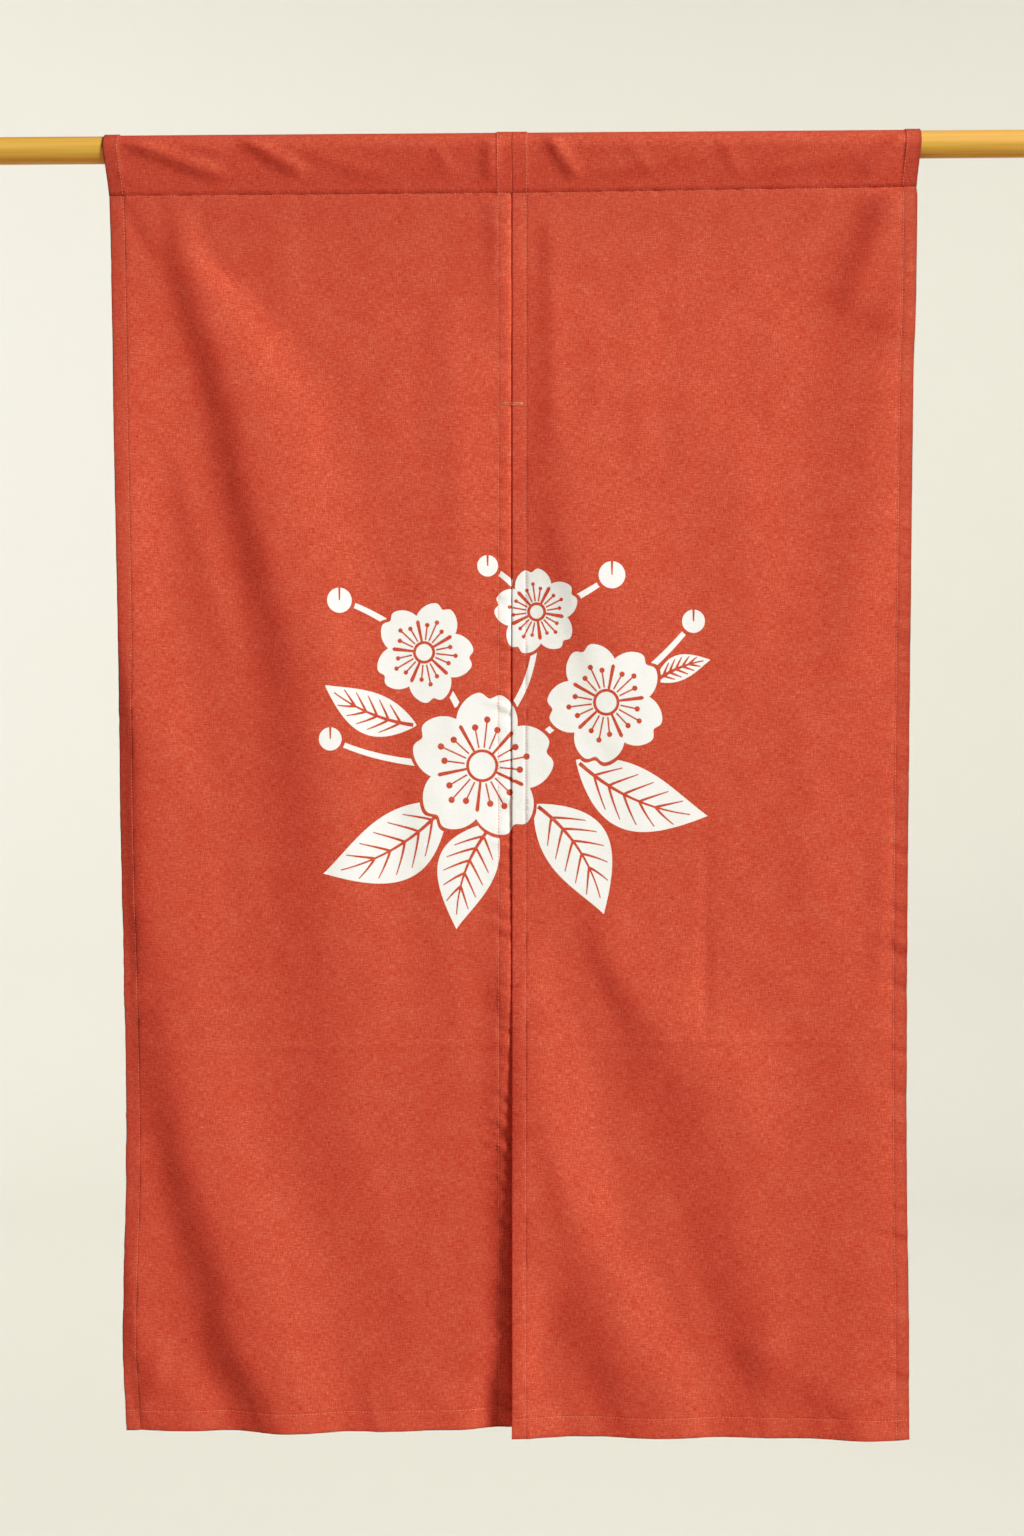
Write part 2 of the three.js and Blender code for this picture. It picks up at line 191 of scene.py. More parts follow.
# The seam and the lower edge are given by their drops at the panel's left and right edges.
LEFT_PANEL = {
    "name": "left_panel",
    "width": 424.2,
    "outer": "left",
    "seam": (46.5, 46.0),
    "lower_edge": (1338.5, 1335.5),
    "inset": LEFT_INSET,
    "folds": LEFT_FOLDS,
    "creases": LEFT_CREASES,
    "header": LEFT_HEADER,
    "seeds": {"outer_hem": 10, "seam": 30, "lower_hem": 40, "knots": 50, "rumple": 80, "header": 120},
}
RIGHT_PANEL = {
    "name": "right_panel",
    "width": 420.6,
    "outer": "right",
    "seam": (46.0, 42.5),
    "lower_edge": (1341.4, 1338.8),
    "inset": RIGHT_INSET,
    "folds": RIGHT_FOLDS,
    "creases": RIGHT_CREASES,
    "header": RIGHT_HEADER,
    "seeds": {"outer_hem": 60, "seam": 70, "lower_hem": 80, "knots": 90, "rumple": 90, "header": 140},
}

# Sewing, in millimetres
STITCH_PITCH = 3.3
STITCH_LENGTH = 2.5
THREAD = 0.62
SIDE_STITCH = 14.7
LOWER_STITCH = 20.4
SEAM_STITCH = 1.2
GROOVE = 0.4
GROOVE_WIDTH = 1.3
SEAM_STEP = 1.5
SEAM_STEP_REACH = 7.0
KNOT_PITCH = 5.0
EDGE_ROLL = {"left": 2.6, "right": 0.2}
EDGE_ROLL_REACH = 1.3

# Uneven strength of the step at its knots, and of the painted shade at the seam's holes: mean and swing
KNOT_MEAN, KNOT_SWING = 0.7, 0.5
HOLE_MEAN, HOLE_SWING = 0.5, 0.9

# A crease has half its height at its two ends, and fades out past them
CREASE_FADE = 3.3
CREASE_END = 0.5

# Puckers, where stitches gather the cloth: the waves' lengths and heights. They fade with the
# distance from their line and slant away from it, by millimetres along for each one away.
HEM_PUCKER = [(11, 0.28), (17, 0.38), (31, 0.4), (63, 0.35)]
SEAM_PUCKER = [(14, 0.2), (23, 0.3), (47, 0.3)]
SIDE_PUCKER_REACH = 17.0
PUCKER_REACH = 26.0
SLANT = {"side": 0.35, "lower_hem": 0.25, "seam": 0.3, "header": 0.2}
INNER_HEM_SEED = 70

# A side hem puckers more the lower it is, between two drops, and most on the hem itself
PUCKER_AT_TOP = 0.55
PUCKER_GAIN_BELOW = 0.65
PUCKER_GAIN_ON_HEM = 1.1
PUCKER_DROPS = (300, 1000)
PUCKER_FADE = 4.0

# Rumple: waves by their length across and down, and their height
RUMPLE = [(22, 30, 0.16), (46, 70, 0.4), (95, 150, 0.7)]
RUMPLE_START = (7, 3)
RUMPLE_FROM_SLIT = 25.0

# Distance below the pocket's seam over which each form of the sheet sets in
SETS_IN = {"step": 0.7, "roll": 3, "sewing": 6, "creases": 12, "rumple": 40}

# Where the creases of the pocket's front set in: how far in front of the rod's axis, how far below
# its top, and on the pocket's inside how far below its axis
FRONT_START = 2.0
FRONT_RISE = 6.0
TOP_START = -14.0
TOP_RISE = 12.0
INSIDE_RISE = 6.0
HEADER_GATHER = 1.3
GATHER_RISE = 5.0
HEADER_LIFT = 0.5

# Painted shade, darker colour where shade falls on the cloth: how much in each place, how far that reaches,
# and where its middle lies
PAINTED_SHADE = {"hem": 0.17, "pocket": 0.09, "lee": 0.16, "seam": 0.26, "stitch": 0.22, "edge": 0.75, "slit": 0.25}
PAINTED_SHADE_REACH = {"pocket": 2, "lee": 85, "seam": 0.7, "stitch": 0.8, "edge": 1.2, "slit": 0.6}
SEAM_PAINTED_SHADE_DROP = 0.6
STITCH_PAINTED_SHADE_INSIDE = 0.8
HOLE_SEED = 200
HOLE_PITCH = 2.6

# Bar tack: its drop, its reach on each panel, and how far each strand lies and sags from that drop
TACK_DROP = 264.0
TACK_REACH = 14.6
TACK_START = 0.6
TACK_STRANDS = [(-1.0, 0.6), (0.0, 1.4), (1.0, 0.2)]
TACK_THREAD = 0.95
TACK_LIFT = 0.2
TACK_POINTS = 14
TACK_TAUT = 0.35
TACK_FILL = 0.98

# Camera: what the photo's view measures
FOCAL_PIXELS = 2269.0
PHOTO_HEIGHT = 1536.0
SENSOR_HEIGHT = 36.0
CAMERA_PLACE = (0.6659, -2.36, -0.6016)
CAMERA_TURN = 1.6
CAMERA_TILT = 1.0
CAMERA_REACH = 100


def ease(share):
    """0 below 0, 1 above 1, and a soft rise in between."""
    share = np.clip(share, 0, 1)
    return share * share * (3 - 2 * share)


def bell(offset, width):
    """1 in the middle, and a soft fall to 0 on both sides."""
    return np.exp(-((offset / width) ** 2))


def join(*parts):
    """Coordinates side by side."""
    return np.stack(parts, axis=-1)


def unit(ways):
    """The same directions at a length of 1."""
    return ways / np.linalg.norm(ways, axis=-1, keepdims=True)


def run_along(path):
    """Length along a path at each of its points."""
    steps = np.linalg.norm(np.diff(path, axis=0), axis=-1)
    return np.concatenate([np.zeros_like(steps[:1]), np.cumsum(steps, axis=0)])


def full_turn(count):
    """Even angles round a circle."""
    return 2 * np.pi * np.arange(count) / count


def value_at(rows, column, drop):
    """Smooth value of a table's column at each drop, level past the table's two ends."""
    x, y = rows["drop"], rows[column]
    last = len(x) - 1
    before = np.maximum(np.arange(last + 1) - 1, 0)
    after = np.minimum(np.arange(last + 1) + 1, last)
    slope = (y[after] - y[before]) / (x[after] - x[before])
    drop = np.clip(drop, x[0], x[-1])
    i = np.clip(np.searchsorted(x, drop, side="right") - 1, 0, last - 1)
    span = x[i + 1] - x[i]
    u = (drop - x[i]) / span
    leave_start = u * (1 - u) ** 2 * span * slope[i]
    reach_end = u * u * (u - 1) * span * slope[i + 1]
    return y[i] + (y[i + 1] - y[i]) * ease(u) + leave_start + reach_end


def fold_depth(rows, across, drop):
    """Height of one fold: a soft ridge with its own reach on each flank."""
    height = value_at(rows, "height", drop)
    offset = across - value_at(rows, "across", drop)
    left, right = value_at(rows, "left", drop), value_at(rows, "right", drop)
    share = np.minimum(np.abs(offset) / np.where(offset < 0, left, right), 1)
    return 0.5 * height * (1 + np.cos(np.pi * share))


def line_drop(panel, line, across):
    """Drop of the panel's "seam" or "lower_edge", which both run a little out of level."""
    left, right = panel[line]
    return left + (right - left) * across / panel["width"]


def below_seam(panel, across, drop):
    """How far each place lies below the pocket's seam."""
    return drop - line_drop(panel, "seam", across)


def above_edge(panel, across, drop):
    """How far each place lies above the panel's lower edge."""
    return line_drop(panel, "lower_edge", across) - drop


def from_sides(panel, across):
    """How far each place lies from the panel's outer edge, and from its edge at the slit."""
    far = panel["width"] - across
    return (across, far) if panel["outer"] == "left" else (far, across)


def main_depth(panel, across, drop):
    """How far the panel's main folds stand out, all of them below the pocket's seam."""
    depth = sum(fold_depth(rows, across, drop) for rows in panel["folds"].values())
    return np.where(below_seam(panel, across, drop) <= 0, 0, depth)


ARC_STEPS = 84
DROP_STEPS = 270


def lay_out(panel):
    """Works out once how much of a panel's span lies left of each place on its cloth."""
    across = np.linspace(0, panel["width"], ARC_STEPS + 1)
    drop = np.linspace(0, max(panel["lower_edge"]), DROP_STEPS + 1)
    depth = main_depth(panel, across[None, :], drop[:, None])
    step = panel["width"] / ARC_STEPS
    run = np.sqrt(step**2 - np.diff(depth, axis=1) ** 2)
    travelled = np.concatenate([np.zeros((DROP_STEPS + 1, 1)), np.cumsum(run, axis=1)], axis=1)
    panel["share"] = travelled / travelled[:, -1:]


def place_across(panel, across, drop):
    """X of places on the cloth, whose folds draw it in towards the slit."""
    share = panel["share"]
    column = np.clip(across / panel["width"], 0, 1) * ARC_STEPS
    row = np.clip(drop / max(panel["lower_edge"]), 0, 1) * DROP_STEPS
    c = np.minimum(column.astype(int), ARC_STEPS - 1)
    r = np.minimum(row.astype(int), DROP_STEPS - 1)
    right, down = column - c, row - r
    upper = share[r, c] * (1 - right) + share[r, c + 1] * right
    lower = share[r + 1, c] * (1 - right) + share[r + 1, c + 1] * right
    span = panel["width"] - value_at(panel["inset"], "inset", drop)
    left = SLIT_X + PANEL_GAP / 2
    if panel["outer"] == "left":
        left = SLIT_X - PANEL_GAP / 2 - span
    return left + (upper * (1 - down) + lower * down) * span


def crease_depth(creases, across, drop):
    """Height of all the creases of a list: soft ridges that fade out at both ends."""
    depth = 0
    for start, start_drop, end, end_drop, width, height in creases:
        length = math.hypot(end - start, end_drop - start_drop)
        way, way_down = (end - start) / length, (end_drop - start_drop) / length
        along = ((across - start) * way + (drop - start_drop) * way_down) / length
        off = (drop - start_drop) * way - (across - start) * way_down
        fade = ease(np.minimum(along, 1 - along) * CREASE_FADE + CREASE_END)
        depth = depth + height * fade * bell(off, width)
    return depth


LATTICE_CELLS = 159


def lattice(seed, *places):
    """Smooth random values between -1 and 1, over one or more directions."""
    values = np.random.default_rng(seed).uniform(-1, 1, (LATTICE_CELLS + 1,) * len(places))
    cells = [np.floor(place).astype(int) for place in places]
    shares = [ease(place - cell) for place, cell in zip(places, cells)]
    total = 0
    for corner in itertools.product((0, 1), repeat=len(places)):
        weight = math.prod(share if far else 1 - share for far, share in zip(corner, shares))
        place = tuple(cell % LATTICE_CELLS + far for far, cell in zip(corner, cells))
        total = total + weight * values[place]
    return total


def pucker(waves, along, seed):
    """Small uneven waves along a stitched line."""
    return sum(height * lattice(seed + i, along / (length / 2)) for i, (length, height) in enumerate(waves))


def stitched_hem(past, reach, strength, along, seed):
    """Puckers of a hem, which fade past its stitched line, and the line's groove."""
    waves = bell(np.maximum(past, 0), reach) * strength * pucker(HEM_PUCKER, along, seed)
    return waves - GROOVE * bell(past, GROOVE_WIDTH)


def side_strength(side, drop):
    """How strongly a side hem puckers."""
    start, full = PUCKER_DROPS
    low = PUCKER_AT_TOP + PUCKER_GAIN_BELOW * ease((drop - start) / (full - start))
    return low * (1 + PUCKER_GAIN_ON_HEM * ease((SIDE_HEM - side) / PUCKER_FADE + 0.5))


def sewing_depth(panel, across, drop):
    """Puckers and grooves of the stitched lines on the sheet below the pocket, its step and its roll."""
    seeds = panel["seeds"]
    sides = from_sides(panel, across)
    below, above = below_seam(panel, across, drop), above_edge(panel, across, drop)
    depth = bell(below, PUCKER_REACH) * pucker(SEAM_PUCKER, across + SLANT["seam"] * below, seeds["seam"])
    along = across + SLANT["lower_hem"] * above
    depth = depth + stitched_hem(above - LOWER_STITCH, PUCKER_REACH, 1, along, seeds["lower_hem"])
    for side, seed in zip(sides, (seeds["outer_hem"], INNER_HEM_SEED)):
        past = side - SIDE_STITCH
        along = drop + SLANT["side"] * past
        depth = depth + stitched_hem(past, SIDE_PUCKER_REACH, side_strength(side, drop), along, seed)
    knots = KNOT_MEAN + KNOT_SWING * lattice(seeds["knots"], across / KNOT_PITCH)
    step = SEAM_STEP * knots * np.exp(-below / SEAM_STEP_REACH)
    roll = EDGE_ROLL[panel["outer"]] * np.exp(-sides[1] / EDGE_ROLL_REACH)
    return sum(
        form * ease(below / SETS_IN[name])
        for name, form in (("sewing", depth), ("step", -step), ("roll", -roll))
    )


def rumple_depth(panel, across, drop):
    """Faint unevenness of cloth that has been folded and worn."""
    seed = panel["seeds"]["rumple"]
    depth = 0
    for i, (wide, tall, height) in enumerate(RUMPLE):
        places = (across / (wide / 2) + RUMPLE_START[0], drop / (tall / 2) + RUMPLE_START[1])
        depth = depth + height * lattice(seed + i, *places)
    return depth * ease(from_sides(panel, across)[1] / RUMPLE_FROM_SLIT)


def cloth_depth(panel, across, drop):
    """How far the sheet stands towards the viewer, with all of its forms."""
    below = below_seam(panel, across, drop)
    creases = crease_depth(panel["creases"], across, drop) * ease(below / SETS_IN["creases"])
    rumple = rumple_depth(panel, across, drop) * ease(below / SETS_IN["rumple"])
    return main_depth(panel, across, drop) + sewing_depth(panel, across, drop) + creases + rumple


# Places of the mesh's columns from a side edge and of its rows from the seam and the lower edge
SIDE_COLUMNS = (0, 0.1, 0.35, 0.8, 1.6, 4.5, 8, 11, 13.2, 14.1, 14.7, 15.3, 16.2, 17.8, 21)
COLUMN_PITCH = 5.0
UPPER_ROWS = (0, 0.5, 1.2, 1.9, 2.8, TURN_IN, TURN_IN + HEM_SHOULDER, 7)
LOWER_ROWS = (0, 0.1, 0.35, 0.8, 1.6, 4.5, 8, 12, 16, 18.9, 19.8, 20.4, 21, 22, 23, 25, 28)
ROW_PITCH = 3.5


def stations(first, last, span, pitch):
    """Places from 0 to span: the given close ones from its two ends, and even ones between."""
    count = round((span - first[-1] - last[-1]) / pitch)
    middle = np.linspace(first[-1], span - last[-1], count + 1)
    return np.concatenate([first[:-1], middle, span - np.array(last[:-1])[::-1]])


def sheet_length(panel):
    return max(panel["lower_edge"]) - max(panel["seam"])


def row_drop(panel, across, below):
    """Drop of places on the sheet's rows, which even out between the seam and the lower edge."""
    seam, edge = line_drop(panel, "seam", across), line_drop(panel, "lower_edge", across)
    return seam + (edge - seam) * below / sheet_length(panel)


def row_below(panel, across, drop):
    """The other way round: which row a drop is at."""
    seam, edge = line_drop(panel, "seam", across), line_drop(panel, "lower_edge", across)
    return (drop - seam) / (edge - seam) * sheet_length(panel)


def turned(distance, width):
    """1 where a hem of that width is turned to the back, and 0 past its shoulder."""
    return ease((width + HEM_SHOULDER - distance) / HEM_SHOULDER)


def full_thickness(panel, across, drop):
    """Thickness of the cloth away from its edges: more where a hem is turned to the back."""
    side = turned(np.minimum(across, panel["width"] - across), SIDE_HEM)
    lower = turned(above_edge(panel, across, drop), LOWER_HEM)
    upper = turned(below_seam(panel, across, drop), TURN_IN)
    return CLOTH + HEM_EXTRA * np.maximum(np.maximum(side, lower), upper)


def painted_shade_share(panel, across, drop):
    """Painted shade: how much darker the cloth is coloured, a little on outer hems, more along folded edges
    and seams.
    """
    outer, slit = from_sides(panel, across)
    below = below_seam(panel, across, drop)
    edge = np.minimum(outer, above_edge(panel, across, drop))
    holes = HOLE_MEAN + HOLE_SWING * lattice(HOLE_SEED, np.abs(across) / HOLE_PITCH)
    in_pocket = ease(-below / PAINTED_SHADE_REACH["pocket"])
    inside_stitch = np.minimum(outer, slit) - SIDE_STITCH - STITCH_PAINTED_SHADE_INSIDE
    # Painted shade on outer hems and the pocket, a painted shadow below the pocket, and painted shade in
    # the seam, beside stitches, on folded edges and at the slit
    places = {
        "hem": turned(outer, SIDE_HEM),
        "pocket": in_pocket,
        "lee": (1 - in_pocket) * bell(below, PAINTED_SHADE_REACH["lee"]),
        "seam": holes * bell(below - SEAM_PAINTED_SHADE_DROP, PAINTED_SHADE_REACH["seam"]),
        "stitch": bell(inside_stitch, PAINTED_SHADE_REACH["stitch"]),
        "edge": np.exp(-edge / PAINTED_SHADE_REACH["edge"]),
        "slit": np.exp(-slit / PAINTED_SHADE_REACH["slit"]),
    }
    return sum(PAINTED_SHADE[name] * share for name, share in places.items())


def roundness(distance):
    """Share of the full thickness at a distance from a folded edge."""
    near = np.clip(distance / EDGE_ROUND, 0, 1)
    return np.sqrt(1 - (1 - near) ** 2)


def sheet_faces(panel, across, drop):
    """Points of the front and back faces of the sheet, in millimetres."""
    x = place_across(panel, across, drop)
    thick = full_thickness(panel, across, drop)
    edge = np.minimum(across, panel["width"] - across)
    edge = np.minimum(edge, above_edge(panel, across, drop))
    middle = (thick - CLOTH) / 2 - cloth_depth(panel, across, drop)
    half = thick / 2 * roundness(edge)
    return tuple(join(x, y, -drop) for y in (middle - half, middle + half))


POCKET_ARC = 26
POCKET_FLANK = 9


def pocket_paths(panel, across):
    """The pocket's outer and inner paths round the rod at one column, as Y and Z, from the front."""
    seam = line_drop(panel, "seam", across)
    thick = full_thickness(panel, across, seam + SIDE_HEM)
    inner = ROD_RADIUS + ROD_GAP
    outer = inner + thick
    lean = math.asin(outer / math.hypot(CLOTH / 2, seam)) - math.atan2(CLOTH / 2, seam)
    turn = np.linspace(math.pi + lean, -lean, POCKET_ARC + 1)
    ring = join(np.cos(turn), np.sin(turn))
    share = np.linspace(0, 1, POCKET_FLANK + 1)[:-1, None]

    def path(start, radius, end):
        up = start + (ring[0] * radius - start) * share
        down = end + (ring[-1] * radius - end) * share
        return np.concatenate([up, ring * radius, down[::-1]])

    apex = np.array([0.0, -inner / math.sin(lean)])
    outer_path = path(np.array([-CLOTH / 2, -seam]), outer, np.array([thick - CLOTH / 2, -seam]))
    inner_path = path(apex, inner, apex)
    middle = (outer_path + inner_path) / 2
    full = roundness(min(across, panel["width"] - across))
    return middle + (outer_path - middle) * full, middle + (inner_path - middle) * full


def header_depth(panel, across, drop, depth):
    """How far the creases and puckers of the pocket's front stand out."""
    below = below_seam(panel, across, drop)
    front = ease((depth - FRONT_START) / FRONT_RISE) * ease((drop - TOP_START) / TOP_RISE)
    gather = pucker(SEAM_PUCKER, across + SLANT["header"] * below, panel["seeds"]["header"])
    gather = gather * ease(-below / GATHER_RISE) * bell(below, PUCKER_REACH)
    return (crease_depth(panel["header"], across, drop) + HEADER_GATHER * gather + HEADER_LIFT) * front


def pocket_faces(panel, across):
    """Points of the pocket's outer and inner faces, a row for each column, from the front seam."""
    paths = np.array([pocket_paths(panel, column) for column in across])
    outer, inner = paths[:, 0], paths[:, 1]
    wide = across[:, None]
    drop = -outer[..., 1]
    out = header_depth(panel, wide, drop, -outer[..., 0])
    outer[..., 0] -= out
    inner[..., 0] -= out * ease(drop / INSIDE_RISE)

    def place(face):
        x = place_across(panel, wide, np.maximum(-face[..., 1], 0))
        return np.concatenate([x[..., None], face], axis=-1)

    return place(outer), place(inner)


# The print, a spray of blossoms and leaves. Lengths are in millimetres from the spray's centre.
PRINT_CENTRE = (602.0, 618.5)
PRINT_LINE = 4.2
FINE_LINE = 1.8

# Each blossom's centre, radius and turn, and the parts of a blossom as shares of its radius
BLOSSOMS = [(-34, -22, 78, 0.20), (98, 44, 64, 0.75), (-96, 96, 54, 1.15), (24, 138, 46, 0.45)]
PETALS = 5
PETAL_ROUND = 0.42
NICK_DEPTH = 0.1
NICK_TURN = 0.1
PETAL_LINE = (0.2, 0.6)
STAMENS = [(-0.3, 0.5), (0, 0.6), (0.3, 0.5)]
STAMEN_START = 0.24
ANTHER = 0.045
ANTHER_PAST_END = 1.5
CENTRE = 0.22
CENTRE_RING = 3.2

# Each bud's centre and radius
BUDS = [(-186, 150, 13), (-28, 186, 11), (104, 176, 14), (190, 128, 12), (-196, 6, 12)]

# Each leaf's foot, tip, width and bend, and where its midrib and its side veins run along it
LEAVES = [
    (-70, -60, -204, -134, 70, 14), (-20, -80, -62, -192, 62, -12), (22, -62, 96, -176, 68, 14),
    (66, -16, 206, -74, 66, -14), (-104, 20, -202, 62, 44, 8), (150, 66, 208, 88, 26, 4),
]
LEAF_BULGE = 0.86
LEAF_LINE_ENDS = (0.12, 0.88)
MIDRIB = (0.03, 0.88)
VEINS = (0.16, 0.76, 0.12)
VEIN_REACH = 0.16
VEIN_SPREAD = 0.74
VEIN_BEND = 0.9

# Each stem as a curve's start, middle and end
STEMS = [
    (-60, 40, -70, 60, -96, 96), (20, 0, 50, 30, 98, 44), (0, 40, 26, 80, 24, 138),
    (-110, 110, -150, 140, -186, 150), (16, 150, -8, 176, -28, 186), (40, 140, 78, 156, 104, 176),
    (120, 60, 162, 92, 190, 128), (-90, -20, -150, -16, -196, 6), (-40, -20, -10, -60, 30, -74),
]

# Widths of the print's lines at their two ends, and how many points outlines and lines have
WIDTHS = {
    "petal": (2.6, PRINT_LINE), "stamen": (FINE_LINE, FINE_LINE), "midrib": (PRINT_LINE, 1.4),
    "vein": (3.0, 1.2), "stem": (7.0, 5.0), "bud": (1.4, 2.6),
}
COUNTS = {
    "blossom": 200, "ray": 8, "anther": 14, "disc": 40, "leaf": 40, "midrib": 24, "vein": 9,
    "stem": 20, "bud": 6,
}


def stroke(points, start, end):
    """Outline of a line that goes from one width to another."""
    points = np.asarray(points, float)
    way = unit(np.gradient(points, axis=0))
    side = join(-way[:, 1], way[:, 0])
    half = np.linspace(start, end, len(points))[:, None] / 2
    tip = points[-1:] + way[-1:] * half[-1]
    return np.concatenate([points + side * half, tip, (points - side * half)[::-1]])


def curve(start, middle, end, count):
    """Points on a quadratic curve."""
    t = np.linspace(0, 1, count)[:, None]
    a, b, c = (np.asarray(p, float) for p in (start, middle, end))
    return a * (1 - t) ** 2 + 2 * b * t * (1 - t) + c * t * t


def turn_round(x, y, radius, angle):
    """Points about a centre, at a radius and an angle each."""
    return join(x + radius * np.cos(angle), y + radius * np.sin(angle))


def disc(x, y, radius, count=COUNTS["disc"]):
    return turn_round(x, y, radius, full_turn(count))


def blossom_shapes(x, y, radius, turn):
    """Round petals with a nick in each, petal lines, stamens and a ringed centre."""
    petal = 2 * math.pi / PETALS
    angle = full_turn(COUNTS["blossom"])
    off = (angle + petal / 2) % petal - petal / 2
    bow = np.sqrt((PETAL_ROUND * radius) ** 2 - ((1 - PETAL_ROUND) * radius * np.sin(off)) ** 2)
    reach = (1 - PETAL_ROUND) * radius * np.cos(off) + bow - NICK_DEPTH * radius * bell(off, NICK_TURN)

    def ray(direction, near, far, kind):
        ends = np.linspace(near, far, COUNTS["ray"])[:, None] * radius
        return stroke([x, y] + ends * [math.cos(direction), math.sin(direction)], *WIDTHS[kind])

    yield turn_round(x, y, reach + PRINT_LINE, angle + turn), False
    yield turn_round(x, y, reach, angle + turn), True
    for k in range(PETALS):
        axis = turn + k * petal
        yield ray(axis + petal / 2, *PETAL_LINE, "petal"), False
        for lean, far in STAMENS:
            yield ray(axis + lean, STAMEN_START, far, "stamen"), False
            anther = turn_round(x, y, far * radius + ANTHER_PAST_END, axis + lean)
            yield disc(*anther, ANTHER * radius, COUNTS["anther"]), False
    yield disc(x, y, CENTRE * radius), False
    yield disc(x, y, CENTRE * radius - CENTRE_RING), True


def leaf_shapes(x, y, tip_x, tip_y, width, bend):
    """A pointed leaf with a midrib and side veins."""
    length = math.hypot(tip_x - x, tip_y - y)
    way = np.array([tip_x - x, tip_y - y]) / length
    side = np.array([-way[1], way[0]])

    def place(s, off):
        s, off = np.asarray(s, float)[..., None], np.asarray(off, float)[..., None]
        return np.array([x, y]) + way * s * length + side * (off + 4 * bend * s * (1 - s))

    def half_width(s):
        return width / 2 * np.sin(np.pi * np.asarray(s) ** LEAF_BULGE)

    s = np.linspace(0, 1, COUNTS["leaf"])
    spread = half_width(s) + PRINT_LINE * np.sin(np.pi * np.clip(s, *LEAF_LINE_ENDS))
    yield np.concatenate([place(s, spread), place(s[::-1], -spread[::-1])]), False
    yield np.concatenate([place(s, half_width(s))[:-1], place(s[::-1], -half_width(s[::-1]))[:-1]]), True
    yield stroke(place(np.linspace(*MIDRIB, COUNTS["midrib"]), 0), *WIDTHS["midrib"]), False
    for start in np.arange(*VEINS):
        along = start + np.linspace(0, VEIN_REACH, COUNTS["vein"])
        reach = half_width(start + VEIN_REACH) * np.linspace(0, VEIN_SPREAD, COUNTS["vein"]) ** VEIN_BEND
        for flank in (-1, 1):
            yield stroke(place(along, flank * reach), *WIDTHS["vein"]), False


def print_shapes():
    """Outlines of the print from back to front, each with whether it is white."""
    for leaf in LEAVES:
        yield from leaf_shapes(*leaf)
    for stem in STEMS:
        yield stroke(curve(stem[:2], stem[2:4], stem[4:], COUNTS["stem"]), *WIDTHS["stem"]), True
    for x, y, radius in BUDS:
        yield disc(x, y, radius + PRINT_LINE), False
        yield disc(x, y, radius), True
        bud_line = curve((x, y), (x, y + radius / 3), (x, y + radius), COUNTS["bud"])
        yield stroke(bud_line, *WIDTHS["bud"]), False
    for blossom in BLOSSOMS[::-1]:
        yield from blossom_shapes(*blossom)


def inside(outline, points):
    """Which points an outline holds."""
    held = np.zeros(len(points), bool)
    low, high = outline.min(axis=0), outline.max(axis=0)
    near = np.nonzero(((points >= low) & (points <= high)).all(axis=1))[0]
    x, y = points[near, 0][:, None], points[near, 1][:, None]
    x1, y1 = outline[:, 0][None], outline[:, 1][None]
    x2, y2 = np.roll(x1, -1), np.roll(y1, -1)
    straddles = (y1 > y) != (y2 > y)
    rise = np.where(y2 == y1, 1.0, y2 - y1)
    hits = straddles & (x < (x2 - x1) * (y - y1) / rise + x1)
    held[near] = hits.sum(axis=1) % 2 == 1
    return held


def print_on_panel(panel):
    """The print's outlines in a panel's own places: across, and rows below the seam."""
    offset = panel["width"] - SLIT_X if panel["outer"] == "left" else -SLIT_X
    shapes = []
    for outline, white in print_shapes():
        across = PRINT_CENTRE[0] + outline[:, 0] + offset
        drop = PRINT_CENTRE[1] - outline[:, 1]
        shapes.append((join(across, row_below(panel, across, drop)), white))
    return shapes


def quads(near, far):
    """Faces between pairs of rows of vertex numbers."""
    corners = near[..., :-1], far[..., :-1], far[..., 1:], near[..., 1:]
    return np.stack(corners, axis=-1).reshape(-1, 4)


PRINT_MARGIN = 8.0
CUT_MARGIN = 0.05
CUT_PRECISION = 1e-5


def print_window(shapes, columns, below):
    """Columns and rows of the grid between which the print lies."""
    places = np.concatenate([outline for outline, _ in shapes])
    low, high = places.min(axis=0) - PRINT_MARGIN, places.max(axis=0) + PRINT_MARGIN
    c0, c1 = np.searchsorted(columns, (low[0], high[0])).clip(1, len(columns) - 1)
    r0, r1 = np.searchsorted(below, (low[1], high[1]))
    return c0 - 1, c1, r0 - 1, r1


def cut_print(shapes, columns, below, window):
    """Triangles of the window, whose edges follow the print: places, faces and which are white."""
    c0, c1, r0, r1 = window
    grid = np.meshgrid(columns[c0 : c1 + 1], below[r0 : r1 + 1])
    numbers = np.arange(grid[0].size).reshape(grid[0].shape)
    rim = np.concatenate([numbers[0], numbers[1:, -1], numbers[-1, -2::-1], numbers[-2:0:-1, 0]])
    edges = list(zip(rim.tolist(), np.roll(rim, -1).tolist()))
    places = [np.stack(grid, axis=-1).reshape(-1, 2)]
    count = numbers.size
    for outline, _ in shapes:
        held = (outline[:, 0] > columns[c0] + CUT_MARGIN) & (outline[:, 0] < columns[c1] - CUT_MARGIN)
        spots = np.where(held, count + np.cumsum(held) - 1, -1)
        places.append(outline[held])
        count += held.sum()
        for a, b in zip(spots, np.roll(spots, -1)):
            if a >= 0 and b >= 0:
                edges.append((int(a), int(b)))
    flat = [Vector(place) for place in np.concatenate(places) * [1, -1]]
    verts, _, faces, _, _, _ = delaunay_2d_cdt(flat, edges, [], 0, CUT_PRECISION)
    flat = np.array([v[:] for v in verts]) * [1, -1]
    faces = np.array([f for f in faces if len(f) == 3])
    middles = flat[faces].mean(axis=1)
    white = np.zeros(len(faces), bool)
    for outline, is_white in shapes:
        white[inside(outline, middles)] = is_white
    return flat, faces, white


